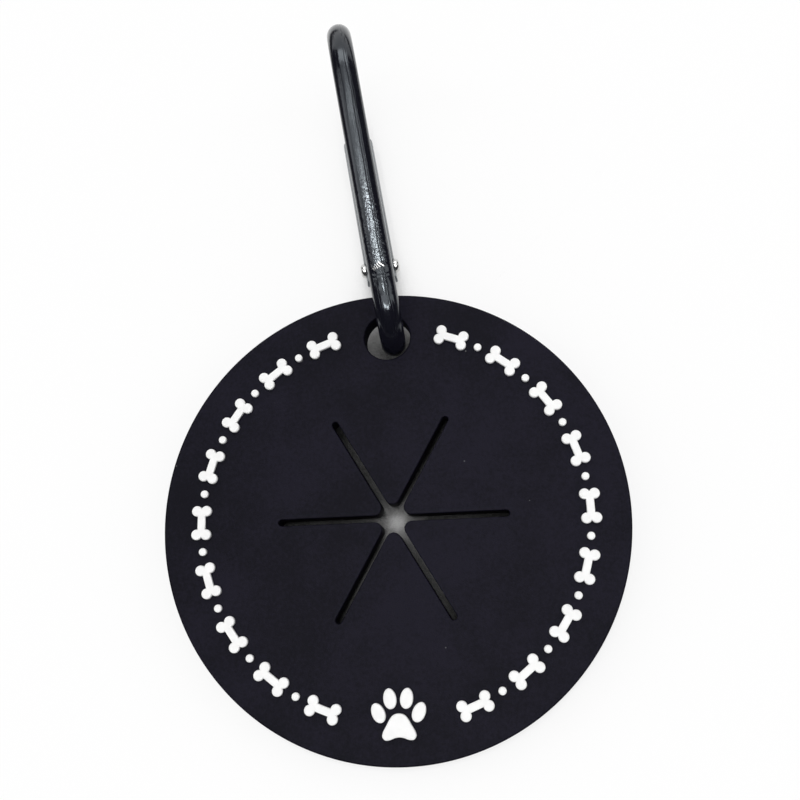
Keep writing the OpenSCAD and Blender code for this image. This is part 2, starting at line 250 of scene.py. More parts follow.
# %% Noise and bump
def object_noise(tree, size, detail=2.0, roughness=0.5):
    """Noise whose features are about size metres across."""
    place = add_node(tree, "ShaderNodeTexCoord")
    noise = add_node(
        tree, "ShaderNodeTexNoise", Scale=1 / size, Detail=detail, Roughness=roughness
    )
    tree.links.new(place.outputs["Object"], noise.inputs["Vector"])
    return noise.outputs["Fac"]


def add_bump(tree, shader, height, strength, distance, under=None):
    """Bump of a real height in metres, over another bump if one is given."""
    bump = add_node(tree, "ShaderNodeBump", Strength=strength, Distance=distance)
    tree.links.new(height, bump.inputs["Height"])
    if under:
        tree.links.new(under.outputs["Normal"], bump.inputs["Normal"])
    tree.links.new(bump.outputs["Normal"], shader.inputs["Normal"])
    return bump


# %% [markdown]
# ## Soft black rubber
#
# The disc is soft moulded rubber with a spark-eroded grain, so it is matte, near black and
# a little blue. Four scales of detail make it: wide, faint clouds and a fine speckle in the
# colour, a grain of about a fifth of a millimetre in the bump and the roughness, and a few
# specks of pale dust, which cling to every such rubber.

# %% Rubber
RUBBER_BLACK = (0.0045, 0.0038, 0.0104, 1)
RUBBER_DARK, RUBBER_LIGHT = (0.0019, 0.0017, 0.0058, 1), (0.0058, 0.0050, 0.0126, 1)

rubber, tree, shader = start_material(
    "soft_black_rubber", RUBBER_BLACK, 0.58, Specular_IOR_Level=0.08
)
clouds = object_noise(tree, 0.014, detail=4)
speckle = object_noise(tree, 0.0007, detail=4, roughness=0.7)
cloud_share = spread(tree, maths(tree, "ADD", clouds, speckle), 0.84, 1.16, 0, 1)
cloudy = mix(tree, "RGBA", cloud_share, RUBBER_DARK, RUBBER_LIGHT)

grain = object_noise(tree, 0.00022, detail=3)
tree.links.new(spread(tree, grain, 0.3, 0.7, 0.54, 0.70), shader.inputs["Roughness"])
add_bump(tree, shader, grain, 0.7, 0.00004)

# %% Dust on the rubber
DUST_GREY = (0.20, 0.20, 0.21, 1)

place = add_node(tree, "ShaderNodeTexCoord")
dust = add_node(tree, "ShaderNodeTexVoronoi", Scale=190.0)
tree.links.new(place.outputs["Object"], dust.inputs["Vector"])
near = spread(tree, dust.outputs["Distance"], 0.016, 0.034, 1, 0)
lot = add_node(tree, "ShaderNodeSeparateColor")
tree.links.new(dust.outputs["Color"], lot.inputs["Color"])
chosen = spread(tree, lot.outputs["Red"], 0.40, 0.98, 0, 0.7)
dusty = mix(tree, "RGBA", maths(tree, "MULTIPLY", near, chosen), cloudy, DUST_GREY)
tree.links.new(dusty, shader.inputs["Base Color"])
print("rubber of", len(tree.nodes), "nodes")

# %% [markdown]
# ## White rubber
#
# The raised marks are white rubber, poured into the mould before the black. They are
# smoother than the disc, with faint flow clouds.

# %% White rubber
MARK_WHITE = (0.90, 0.90, 0.89, 1)
MARK_SHADED, MARK_CLEAN = (0.855, 0.855, 0.85, 1), (0.90, 0.90, 0.895, 1)

white, tree, shader = start_material("white_rubber", MARK_WHITE, 0.42, Specular_IOR_Level=0.35)
flow = spread(tree, object_noise(tree, 0.0018, detail=3), 0.35, 0.65, 0, 1)
tree.links.new(mix(tree, "RGBA", flow, MARK_SHADED, MARK_CLEAN), shader.inputs["Base Color"])
skin_grain = object_noise(tree, 0.00035, detail=2)
add_bump(tree, shader, skin_grain, 0.2, 0.00002)
tree.links.new(spread(tree, skin_grain, 0.3, 0.7, 0.36, 0.5), shader.inputs["Roughness"])
print("white rubber of", len(tree.nodes), "nodes")

# %% [markdown]
# ## Black anodised aluminium
#
# The rod and the gate are glossy, but not perfect: drawing leaves fine lines along them,
# and where hands and straps rub the dyed oxide, a reflection breaks up over small dents.
# A few deeper lines are scored along the rod, and where the press bared the metal it shines.
# All this follows the rod round its bends, so it is laid on each piece's own UV map, whose
# first number is the length along the rod and whose second runs round it, in metres.

# %% What the anodised finish is made of
ANODISED_BLACK, BARE_METAL = (0.0058, 0.0058, 0.0100, 1), (0.92, 0.92, 0.90, 1)
SHEEN_TINT = (0.85, 0.94, 1.0, 1)
LINES_ALONG, LINES_ROUND = 45.0, 2600.0
LEAST_DENTS = 0.12
BARE_ROUGHNESS = 0.35
# Each groove: its place round the rod and its half width in metres, and its depth's share.
GROOVES = ((0.00052, 0.00013, 1.0), (0.00100, 0.0001, 0.7), (-0.00125, 0.00008, 0.4))


def scored_lines(tree, along, around, grooves):
    """Height of scored lines along the rod, which wander a little to the side."""
    wander = add_node(
        tree, "ShaderNodeTexNoise", noise_dimensions="1D", Scale=160.0, Detail=3.0
    )
    tree.links.new(along, wander.inputs["W"])
    drift = maths(tree, "SUBTRACT", wander.outputs["Fac"], 0.5)
    place = maths(tree, "ADD", around, maths(tree, "MULTIPLY", drift, 0.0005))
    score = 0.0
    for at, wide, deep in grooves:
        off = maths(tree, "ABSOLUTE", maths(tree, "SUBTRACT", place, at))
        score = maths(tree, "MAXIMUM", score, spread(tree, off, 0.0, wide, deep, 0.0))
    return maths(tree, "SUBTRACT", 1.0, score)


# %% Anodised finish
def anodised(name, index_of_refraction, rubbed_zone, grooves=()):
    """Black anodising with draw lines and dents; grooves bring scored and bare lines too."""
    material, tree, shader = start_material(
        name, ANODISED_BLACK, 0.2, IOR=index_of_refraction, Specular_Tint=SHEEN_TINT
    )
    where = add_node(tree, "ShaderNodeUVMap", uv_map="along_round")
    parts = add_node(tree, "ShaderNodeSeparateXYZ")
    tree.links.new(where.outputs["UV"], parts.inputs["Vector"])
    along, around = parts.outputs["X"], parts.outputs["Y"]

    stretch = add_node(tree, "ShaderNodeMapping", Scale=(LINES_ALONG, LINES_ROUND, 1.0))
    tree.links.new(where.outputs["UV"], stretch.inputs["Vector"])
    lines = add_node(tree, "ShaderNodeTexNoise", Scale=1.0, Detail=3.0)
    tree.links.new(stretch.outputs["Vector"], lines.inputs["Vector"])
    dents = object_noise(tree, 0.0006)

    start, fade, end = rubbed_zone
    rubbed = spread(tree, along, fade, end, 1, LEAST_DENTS)
    rough = spread(tree, maths(tree, "ADD", lines.outputs["Fac"], dents), 0.75, 1.3, 0.05, 0.16)
    rough = maths(tree, "ADD", rough, spread(tree, rubbed, LEAST_DENTS, 1, 0.06, 0.015))
    below = spread(tree, along, start - 0.0006, start, LEAST_DENTS, 1)
    rubbed = maths(tree, "MULTIPLY", rubbed, below)

    under = add_bump(tree, shader, lines.outputs["Fac"], 0.35, 0.00002)
    dented = maths(tree, "MULTIPLY", dents, rubbed)
    under = add_bump(tree, shader, dented, 1.0, 0.00006, under=under)
    if grooves:
        add_bump(tree, shader, scored_lines(tree, along, around, grooves), 1.0, 0.00004, under)
        bare = add_node(tree, "ShaderNodeAttribute", attribute_name="worn").outputs["Fac"]
        tree.links.new(bare, shader.inputs["Metallic"])
        rough = mix(tree, "FLOAT", bare, rough, BARE_ROUGHNESS)
        colour = mix(tree, "RGBA", bare, ANODISED_BLACK, BARE_METAL)
        tree.links.new(colour, shader.inputs["Base Color"])
    tree.links.new(rough, shader.inputs["Roughness"])
    print(name, "of", len(tree.nodes), "nodes")
    return material


# Each zone: where the rubbing starts, where it fades and where it ends, in metres along.
ROD_ZONE, GATE_ZONE = (0.0429, 0.054, 0.063), (0.0, 0.004, 0.008)
ROD_IOR, GATE_IOR = 1.56, 2.5

rod_black = anodised("black_anodised_rod", ROD_IOR, ROD_ZONE, GROOVES)
gate_black = anodised("black_anodised_gate", GATE_IOR, GATE_ZONE)

# %% [markdown]
# ## Bright steel
#
# Rivet, latch pin, plunger and spring are plain stainless steel. It is tumbled after
# forming, so its polish is a little uneven.

# %% Steel
STEEL_GREY = (0.62, 0.62, 0.61, 1)

steel, tree, shader = start_material("bright_steel", STEEL_GREY, 0.24, Metallic=1.0)
tumbled = object_noise(tree, 0.0005, detail=4, roughness=0.6)
tree.links.new(spread(tree, tumbled, 0.3, 0.7, 0.16, 0.38), shader.inputs["Roughness"])
add_bump(tree, shader, tumbled, 0.3, 0.00002)
print("steel of", len(tree.nodes), "nodes")

# %% [markdown]
# ## The disc's moulding
#
# The disc could be the CAD solid as it is, but its flaps have to bend without a seam.
# So the moulding is drawn again from the same sizes as one ring with three borders: the
# rim, the eyelet, and a border that runs round each slit's end and straight along each
# flap's root. Rows of points round every edge a little, as a real mould does.

# %% The disc's sizes
SLITS = 6
STEP = 360 // SLITS
HALF_STEP = STEP // 2
DISC_R, DISC_T, RIM_ROUND = 45.0, 5.0, 0.4
EYELET_R, EYELET_ROUND = 4.6, 0.3
EYELET_Y = DISC_R - 4.2 - EYELET_R
RIM_STEPS, EYELET_STEPS = 288, 96
SLIT_W, SLIT_REACH, SLIT_ROUND = 1.25, 22.3, 0.18
SLIT_END_R = SLIT_REACH - SLIT_W / 2
ROOT_R = SLIT_END_R * math.cos(math.radians(HALF_STEP))
BEND_W, BLADE_END = 2.9, 3.4
TIP_R = 1.45
TIP_CENTRE = (TIP_R + SLIT_W / 2) / math.sin(math.radians(HALF_STEP))
HALF_T = DISC_T / 2


# %% One rounded edge profile, from the printed face to the back
def edge_profile(radius, steps=4):
    """Pairs of (distance into the rubber, height) from the top face to the bottom one."""
    quarter = [math.radians(90 * i / steps) for i in range(steps + 1)]
    upper = [
        (radius - radius * math.sin(a), HALF_T - radius + radius * math.cos(a))
        for a in quarter
    ]
    return upper + [(d, -z) for d, z in reversed(upper)]


# %% A flap's wall, and a slit's end, at a depth into the rubber
def wall_y(x, depth):
    """Half of a flap's width at x, with its wall moved into the rubber."""
    half = math.radians(HALF_STEP)
    return x * math.tan(half) - (SLIT_W / 2 + depth) / math.cos(half)


def turned(point, degrees):
    """The point, turned about the disc's middle."""
    a = math.radians(degrees)
    x, y = point
    return (x * math.cos(a) - y * math.sin(a), x * math.sin(a) + y * math.cos(a))


def slit_end(k, depth):
    """The border round slit k's end, from one flap's root line to the next one's."""
    a = k * STEP
    first = turned((ROOT_R, wall_y(ROOT_R, depth)), a - HALF_STEP)
    last = turned((ROOT_R, -wall_y(ROOT_R, depth)), a + HALF_STEP)
    centre = turned((SLIT_END_R, 0), a)
    bow = arc(centre, SLIT_W / 2 + depth, a - 90, a + 90, 16)
    return [first] + bow + [last]


# %% Draw the moulding's borders
points, faces, flat = [], [], []


def add_rows(rows, closed):
    """Adds rows of points with their faces, and returns each row's numbers."""
    base = len(points)
    for face in skin_rows(rows, closed):
        faces.append(tuple(base + i for i in face))
    width = len(rows[0])
    points.extend(flatten(rows))
    return [list(range(base + r * width, base + (r + 1) * width)) for r in range(len(rows))]


rim_rows = [
    [(*p, z) for p in circle((0, 0), DISC_R - depth, RIM_STEPS)]
    for depth, z in edge_profile(RIM_ROUND, 6)
]
eyelet_rows = []
for depth, z in edge_profile(EYELET_ROUND, 5):
    loop = arc((0, EYELET_Y), EYELET_R + depth, 360, 360 / EYELET_STEPS, EYELET_STEPS - 1)
    eyelet_rows.append([(*p, z) for p in loop])
rim = add_rows(rim_rows, True)
eyelet = add_rows(eyelet_rows, True)
ends = []
for k in range(SLITS):
    end_rows = [
        [(*p, z) for p in reversed(slit_end(k, depth))]
        for depth, z in edge_profile(SLIT_ROUND)
    ]
    ends.append(add_rows(end_rows, False))
print("borders:", len(rim), "rim rows,", len(eyelet), "eyelet rows,", len(ends), "slit ends")

# %% Close the moulding's two faces and its six root walls
for side in (0, -1):
    inner = [i for end in ends for i in reversed(end[side])]
    loops = [rim[side], eyelet[side], inner]
    order = [i for loop in loops for i in loop]
    outline = [[Vector(points[i]) for i in loop] for loop in loops]
    for triangle in tessellate_polygon(outline):
        face = [order[i] for i in triangle]
        a, b, c = (Vector(points[i]) for i in face)
        facing_up = (b - a).cross(c - a).z > 0
        if facing_up != (side == 0):
            face.reverse()
        flat.append(len(faces))
        faces.append(tuple(face))
for k in range(SLITS):
    here, following = ends[k], ends[(k + 1) % SLITS]
    flat.append(len(faces))
    faces.append(
        tuple([row[-1] for row in following] + [row[0] for row in reversed(here)])
    )
moulding = make_piece("disc_moulding", points, faces, on_disc, flat)
moulding.data.materials.append(rubber)
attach(moulding, "disc")
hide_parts("disc_body")

# %% [markdown]
# ## Six flaps
#
# Each flap and its bending strip are one skin.


# %% Draw a flap and its bending strip
def flap_skin():
    """Points, faces and flat faces of one flap along X, in millimetres."""
    strip = [ROOT_R - BEND_W * i / 12 for i in range(13)]
    blade = [strip[-1] - (strip[-1] - BLADE_END) * i / 6 for i in range(1, 6)]
    stations = strip + blade
    rows = []
    for depth, z in edge_profile(SLIT_ROUND):
        lower = [(x, -wall_y(x, depth)) for x in stations]
        upper = [(x, wall_y(x, depth)) for x in reversed(stations)]
        tip = arc((TIP_CENTRE, 0), TIP_R - depth, -120, -240, 16)
        rows.append([(*p, z) for p in lower + tip + upper])
    width = len(rows[0])
    bands = [tuple(reversed(face)) for face in skin_rows(rows, closed=False)]
    level = []
    for row, up in ((0, True), (len(rows) - 1, False)):
        base, last = row * width, (row + 1) * width - 1
        for i in range(len(stations) - 1):
            face = (base + i, last - i, last - i - 1, base + i + 1)
            level.append(face if up else tuple(reversed(face)))
        end = list(range(base + len(stations) - 1, last - len(stations) + 2))
        level.append(tuple(reversed(end)) if up else tuple(end))
    root = [r * width for r in range(len(rows))]
    root += [(r + 1) * width - 1 for r in reversed(range(len(rows)))]
    level.append(tuple(root))
    return flatten(rows), bands + level, range(len(bands), len(bands) + len(level))


flap_points, flap_faces, flap_flat = flap_skin()
print("one flap:", len(flap_points), "points")

# %% Place the six flaps
for k in range(1, SLITS + 1):
    place = on_disc @ Matrix.Rotation(math.radians(STEP * k - HALF_STEP), 4, "Z")
    flap = make_piece(f"flap_{k}", flap_points, flap_faces, place, flap_flat)
    flap.data.materials.append(rubber)
    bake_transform(flap)
    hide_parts(f"petal_{k}", f"petal_root_{k}")

# %% [markdown]
# ## Raised white marks
#
# A ring of small bones and dots runs round the disc, with a paw at the foot.
# The marks have flat tops and softly rounded edges. Each outline is a closed row of points;
# moving it inwards along its corners as it rises makes the rounded edge, and one
# face closes the top.

# %% Move an outline inwards, and raise it
MARK_H, MARK_ROUND = 0.8, 0.26
SHARPEST = 0.35


def inset(outline, depth):
    """The closed outline moved inwards, each corner along its own bisector."""
    moved = []
    for i, here in enumerate(outline):
        before, after = outline[i - 1], outline[(i + 1) % len(outline)]
        into = (Vector(here) - Vector(before)).normalized()
        out = (Vector(after) - Vector(here)).normalized()
        normal = Vector((-into.y - out.y, into.x + out.x)).normalized()
        reach = depth / max(SHARPEST, normal.dot(Vector((-into.y, into.x))))
        moved.append((here[0] + normal.x * reach, here[1] + normal.y * reach))
    return moved


def raised_mark(name, outline, place):
    """A mark that stands on the printed face, with a rounded upper edge."""
    quarter = [math.radians(90 * i / 4) for i in range(5)]
    levels = [(0, 0)] + [
        (MARK_ROUND - MARK_ROUND * math.cos(a), MARK_H - MARK_ROUND + MARK_ROUND * math.sin(a))
        for a in quarter
    ]
    rows = [[(*p, z) for p in inset(outline, depth)] for depth, z in levels]
    width = len(outline)
    faces = [tuple(reversed(face)) for face in skin_rows(rows)]
    top = (len(rows) - 1) * width
    flat = (len(faces), len(faces) + 1)
    faces.append(tuple(range(top, top + width)))
    faces.append(tuple(reversed(range(width))))
    return make_piece(name, flatten(rows), faces, place, flat)


# %% Outlines of a bone and a dot
KNOB_R, KNOB_X, BONE_L, SHAFT_HALF = 1.02, 0.92, 6.6, 0.75
KNOB_Y = BONE_L / 2 - KNOB_R
DOT_R = 0.75


def bone_outline():
    """A bone along Y: four knobs in turn, each an arc from the shaft to the end's notch."""
    at_shaft = math.degrees(math.acos((KNOB_X - SHAFT_HALF) / KNOB_R))
    at_notch = math.degrees(math.acos(KNOB_X / KNOB_R))
    outline = arc((KNOB_X, KNOB_Y), KNOB_R, at_shaft - 180, 180 - at_notch, 20)[:-1]
    outline += arc((-KNOB_X, KNOB_Y), KNOB_R, at_notch, 360 - at_shaft, 20)
    outline += arc((-KNOB_X, -KNOB_Y), KNOB_R, at_shaft, 360 - at_notch, 20)[:-1]
    outline += arc((KNOB_X, -KNOB_Y), KNOB_R, 180 + at_notch, 540 - at_shaft, 20)
    return outline


dot_outline = circle((0, 0), DOT_R, 24)
print("bone outline of", len(bone_outline()), "points")

# %% [markdown]
# ### Marks round a ring, with Geometry Nodes
#
# The bones and the dots repeat along an arc, which is a job for Geometry Nodes. The tree
# takes one mark and turns copies of it round the disc. Its inputs are the number of marks,
# the ring's radius, the first angle, the step and the finish, so the same tree serves both
# kinds and both sides.

# %% The ring's node tree and its inputs
ring = bpy.data.node_groups.new("marks_on_a_ring", "GeometryNodeTree")
ring.is_modifier = True
sockets = {}
for title, kind in (
    ("Mark", "NodeSocketGeometry"),
    ("Count", "NodeSocketInt"),
    ("Ring radius", "NodeSocketFloat"),
    ("First angle", "NodeSocketFloat"),
    ("Step", "NodeSocketFloat"),
    ("Finish", "NodeSocketMaterial"),
):
    socket = ring.interface.new_socket(title, in_out="INPUT", socket_type=kind)
    sockets[title] = socket.identifier
ring.interface.new_socket("Marks", in_out="OUTPUT", socket_type="NodeSocketGeometry")
given = add_node(ring, "NodeGroupInput").outputs
result = add_node(ring, "NodeGroupOutput").inputs
print("ring tree with", len(sockets), "inputs")

# %% The ring's nodes
index = add_node(ring, "GeometryNodeInputIndex").outputs["Index"]
angle = maths(ring, "ADD", given["First angle"], maths(ring, "MULTIPLY", index, given["Step"]))
across = maths(ring, "MULTIPLY", maths(ring, "COSINE", angle), given["Ring radius"])
up = maths(ring, "MULTIPLY", maths(ring, "SINE", angle), given["Ring radius"])
spot = add_node(ring, "ShaderNodeCombineXYZ")
facing = add_node(ring, "ShaderNodeCombineXYZ")
dots = add_node(ring, "GeometryNodeMeshLine")
laid = add_node(ring, "GeometryNodeSetPosition")
copies = add_node(ring, "GeometryNodeInstanceOnPoints")
solid = add_node(ring, "GeometryNodeRealizeInstances")
finish = add_node(ring, "GeometryNodeSetMaterial")
for source, target in (
    (given["Count"], dots.inputs["Count"]),
    (across, spot.inputs["X"]),
    (up, spot.inputs["Y"]),
    (dots.outputs["Mesh"], laid.inputs["Geometry"]),
    (spot.outputs["Vector"], laid.inputs["Position"]),
    (angle, facing.inputs["Z"]),
    (laid.outputs["Geometry"], copies.inputs["Points"]),
    (given["Mark"], copies.inputs["Instance"]),
    (facing.outputs["Vector"], copies.inputs["Rotation"]),
    (copies.outputs["Instances"], solid.inputs["Geometry"]),
    (solid.outputs["Geometry"], finish.inputs["Geometry"]),
    (given["Finish"], finish.inputs["Material"]),
    (finish.outputs["Geometry"], result["Marks"]),
):
    ring.links.new(source, target)
print("ring tree of", len(ring.nodes), "nodes")

# %% Lay the bones and the dots
RING_R = 37.4
FIRST_ANGLE, LAST_ANGLE = 70, -68
BONES, DOTS = 9, 8
MARK_STEP = (FIRST_ANGLE - LAST_ANGLE) / (BONES - 1)
mark_place = on_disc @ Matrix.Translation((0, 0, HALF_T * MM)) @ Matrix.Scale(MM, 4)


def lay_marks(name, outline, count, first, step, node):
    """Copies of one mark round the ring, as a plain mesh on the disc."""
    piece = raised_mark(name, outline, still_in_mm)
    modifier = piece.modifiers.new("ring", "NODES")
    modifier.node_group = ring
    for title, value in (
        ("Count", count),
        ("Ring radius", RING_R),
        ("First angle", math.radians(first)),
        ("Step", math.radians(step)),
        ("Finish", white),
    ):
        modifier[sockets[title]] = value
    mesh = plain_mesh(piece)
    piece.modifiers.remove(modifier)
    mesh.transform(mark_place)
    piece.data = mesh
    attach(piece, "disc")
    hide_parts(node)
    print(name, count, "marks,", len(mesh.polygons), "faces")


for side, first, step in (
    ("right", FIRST_ANGLE, -MARK_STEP),
    ("left", 180 - FIRST_ANGLE, MARK_STEP),
):
    lay_marks(f"ring_bones_{side}", bone_outline(), BONES, first, step, f"bones_{side}")
    lay_marks(f"ring_dots_{side}", dot_outline, DOTS, first + step / 2, step, f"dots_{side}")

# %% [markdown]
# ## The paw
#
# The paw has four egg-shaped toes and a pad with a round top and two lower lobes. The
# toes are ovals with one end fuller. The pad's outline is a closed smooth curve
# through a few given points, which are mirrored, so that it stays even.


# %% A smooth closed outline through a few points
def smooth_outline(corners, steps=8):
    """A closed curve through the corners, by the Catmull-Rom rule."""
    outline = []
    count = len(corners)
    for i in range(count):
        p = [Vector(corners[(i + j - 1) % count]) for j in range(4)]
        for s in range(steps):
            t = s / steps
            point = 0.5 * (
                2 * p[1]
                + (p[2] - p[0]) * t
                + (2 * p[0] - 5 * p[1] + 4 * p[2] - p[3]) * t * t
                + (3 * p[1] - p[0] - 3 * p[2] + p[3]) * t ** 3
            )
            outline.append((point.x, point.y))
    return outline


def egg_outline(width, length, fuller, steps=40):
    """An oval along Y whose lower end is fuller."""
    outline = []
    for i in range(steps):
        a = math.radians(360 * i / steps)
        swell = 1 - fuller * math.sin(a)
        outline.append((width / 2 * math.cos(a) * swell, length / 2 * math.sin(a)))
    return outline


# %% The paw's pad
PAW_R = 38.0
PAD_TOP, PAD_FOOT = (0, 2.4), (0, -1.75)
PAD_SIDE = [
    (1.05, 2.12), (1.75, 1.35), (2.35, 0.3), (2.95, -0.75),
    (3.12, -1.6), (2.62, -2.2), (1.75, -2.2), (0.8, -1.86),
]

on_face = on_disc @ Matrix.Translation((0, 0, HALF_T * MM))
left_side = [(-x, y) for x, y in PAD_SIDE]
pad_outline = smooth_outline([PAD_TOP] + left_side + [PAD_FOOT] + PAD_SIDE[::-1])
pad_place = on_face @ Matrix.Translation((0, -PAW_R * MM, 0))
paw = [(raised_mark("paw_pad_cast", pad_outline, pad_place), "paw_pad")]

# %% The paw's toes
TOE_W, TOE_L, TOE_FULLER = 2.4, 3.7, 0.06
# Each toe: its place beside and above the pad's middle, and its lean in degrees.
TOES = ((-3.75, 2.55, 24), (-1.55, 5.0, 8), (1.55, 5.0, -8), (3.75, 2.55, -24))

toe_outline = egg_outline(TOE_W, TOE_L, TOE_FULLER)
for number, (x, y, lean) in enumerate(TOES, start=1):
    toe_spot = Matrix.Translation((x * MM, (y - PAW_R) * MM, 0))
    toe_place = on_face @ toe_spot @ Matrix.Rotation(math.radians(lean), 4, "Z")
    toe = raised_mark(f"paw_toe_cast_{number}", toe_outline, toe_place)
    paw.append((toe, f"paw_toe_{number}"))
for piece, node in paw:
    piece.data.materials.append(white)
    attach(piece, "disc")
    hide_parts(node)

# %% [markdown]
# ## The carabiner's rod
#
# The frame is one bent rod. It is swept along its centre line: straight from the hinge
# tongue, round the narrow bend, up the spine, round the wide bend and back
# to the nose. Two things make it real. The spine is pressed slightly flat on its outer side,
# and where the press ended, near the narrow bend, it left a crease with small slanting marks.
# Both are moves of the ring's points, so they are true shapes.

# %% The rod's sizes and its centre line
ROD_R = 2.5
NARROW_R, WIDE_R = 7.8, 12.6768
SPINE_A, BEND_GAP = 12.0, 46.4
TONGUE_END, HOOK_END = 14.5, 39.6
SHOULDER, NOSE = 8.55, 44.45
GATE_Y = -NARROW_R
TONGUE_ROWS, NARROW_ROWS, WIDE_ROWS, HOOK_ROWS = 24, 56, 72, 12
CLOSE_REACH, CLOSE_STEP, FAR_STEP = 8, 0.07, 0.55


def rod_line():
    """Stations on the centre line: (x, y, heading in degrees, length so far)."""
    line = []

    def add(x, y, heading):
        so_far = 0.0
        if line:
            so_far = line[-1][3] + math.hypot(x - line[-1][0], y - line[-1][1])
        line.append((x, y, heading, so_far))

    for i in range(TONGUE_ROWS + 1):
        add(TONGUE_END * (1 - i / TONGUE_ROWS), GATE_Y, 180)
    for i in range(1, NARROW_ROWS + 1):
        a = 270 - (180 - SPINE_A) * i / NARROW_ROWS
        add(*arc((0, 0), NARROW_R, a, a, 1)[0], a - 90)
    x0, y0 = line[-1][:2]
    way = (math.cos(math.radians(SPINE_A)), math.sin(math.radians(SPINE_A)))
    reach, at = [], 0.0
    while at < BEND_GAP - 0.2:
        at += CLOSE_STEP if at < CLOSE_REACH else FAR_STEP
        reach.append(min(at, BEND_GAP))
    if reach[-1] < BEND_GAP:
        reach.append(BEND_GAP)
    for r in reach:
        add(x0 + way[0] * r, y0 + way[1] * r, SPINE_A)
    for i in range(1, WIDE_ROWS + 1):
        a = 90 + SPINE_A - (180 + SPINE_A) * i / WIDE_ROWS
        add(*arc((BEND_GAP, WIDE_R - NARROW_R), WIDE_R, a, a, 1)[0], a - 90)
    for i in range(1, HOOK_ROWS + 1):
        add(BEND_GAP - (BEND_GAP - HOOK_END) * i / HOOK_ROWS, GATE_Y, 180)
    return line


rod_stations = rod_line()
spine_from = next(s for x, y, heading, s in rod_stations if abs(heading - SPINE_A) < 1e-6)
print("rod of", len(rod_stations), "stations,", round(rod_stations[-1][3], 1), "mm long")

# %% [markdown]
# The flat and the crease are written as a height above the plain round surface. The flat is
# slightly crowned. It fades in at the crease and out towards the wide bend. The crease is a
# band of low slanting ripples, and between it and the narrow bend lie two shallow curved
# folds and some soft dents.

# %% Flat and crease
CREASE_AT, CREASE_SLANT = 5.6, 0.55
FLAT_DEPTH, CROWN_R = 0.26, 12.0
FLAT_FADES_FROM, FLAT_ENDS = 34, 46
RIPPLE_H, FOLD_H, DENT_H = 0.012, 0.05, 0.016


def ease(value, low, high):
    """Goes smoothly from 0 at low to 1 at high."""
    t = min(1, max(0, (value - low) / (high - low)))
    return t * t * (3 - 2 * t)


def wrinkles(distance, sideways):
    """Height of the crease's ripples, folds and dents, in millimetres."""
    past = distance - CREASE_AT
    ripple = math.sin(11 * (1.1 * sideways + 0.75 * past))
    ripple *= math.exp(-(((past - CREASE_SLANT * sideways) / 0.6) ** 2))
    smile = past + 1.25 - 0.12 * sideways ** 2
    folds = math.exp(-((smile / 0.22) ** 2)) + 0.5 * math.exp(-(((smile + 0.8) / 0.25) ** 2))
    dents = math.sin(4.3 * sideways + 1.3) * math.sin(2.2 * distance + 1.7 * sideways)
    dents *= ease(-past, 0.8, 2.0) * (1 - ease(-past, 7.2, 9))
    window = math.exp(-((sideways / 1.45) ** 4))
    return (RIPPLE_H * ripple - FOLD_H * folds + DENT_H * dents) * window


def pressed(distance, round_angle):
    """Radius of the rod at a distance up the spine, with angle 0 on its outer side."""
    outward = math.cos(round_angle)
    sideways = ROD_R * math.sin(round_angle)
    edge = distance - CREASE_AT - CREASE_SLANT * sideways
    share = ease(edge, -0.3, 0.9) * (1 - ease(distance, FLAT_FADES_FROM, FLAT_ENDS))
    radius = ROD_R
    if outward > 0.5 and share > 0:
        crown = (2 * ROD_R * FLAT_DEPTH - sideways ** 2) / (2 * CROWN_R)
        over = max(0, ROD_R * outward - ROD_R + (FLAT_DEPTH - crown) * share)
        radius -= over / outward
    if outward > 0.2 and -9 < distance - CREASE_AT < 3:
        radius += wrinkles(distance, sideways)
    return radius


# %% Sweep the rod
ROUND_STEPS = 128

rows = []
for x, y, heading, so_far in rod_stations:
    h = math.radians(heading)
    outward = (-math.sin(h), math.cos(h))
    row = []
    for i in range(ROUND_STEPS):
        a = 2 * math.pi * i / ROUND_STEPS
        radius = pressed(so_far - spine_from, a)
        out, side = radius * math.cos(a), radius * math.sin(a)
        row.append((x + outward[0] * out, y + outward[1] * out, side))
    rows.append(row)
faces = [tuple(reversed(face)) for face in skin_rows(rows)]
flat = (len(faces), len(faces) + 1)
faces.append(tuple(reversed(range(ROUND_STEPS))))
faces.append(tuple(range((len(rows) - 1) * ROUND_STEPS, len(rows) * ROUND_STEPS)))
rod = make_piece("carabiner_rod", flatten(rows), faces, still_in_mm, flat)

# %% See that the rod isn't inside out
edit = bmesh.new()
edit.from_mesh(rod.data)
volume = edit.calc_volume(signed=True)
edit.free()
print("rod holds", round(volume / 1000, 2), "cm3; above zero, its faces point outward")

# %% [markdown]
# The rod's two ends are flattened into tongues, as in the press: the hinge tongue takes the
# rivet, and the nose has a notch for the latch pin. These are cuts with plain
# cutters, because a cut leaves the sharp shoulders that the press leaves.


# %% Cutters
def slab(low, high):
    """Corners and faces of a box, as a cutter."""
    corners = [
        (x, y, z) for x in (low[0], high[0]) for y in (low[1], high[1]) for z in (low[2], high[2])
    ]
    sides = [(0, 1, 3, 2), (4, 6, 7, 5), (0, 4, 5, 1), (2, 3, 7, 6), (0, 2, 6, 4), (1, 5, 7, 3)]
    return corners, sides


def pin_cutter(x, radius, count=48, reach=9):
    """Points and faces of a cylinder across the gate's line, as a cutter."""
    rows = [[(*p, z) for p in circle((x, GATE_Y), radius, count)] for z in (reach, -reach)]
    sides = [tuple(reversed(face)) for face in skin_rows(rows)]
    return flatten(rows), sides + [tuple(reversed(range(count, 2 * count))), tuple(range(count))]


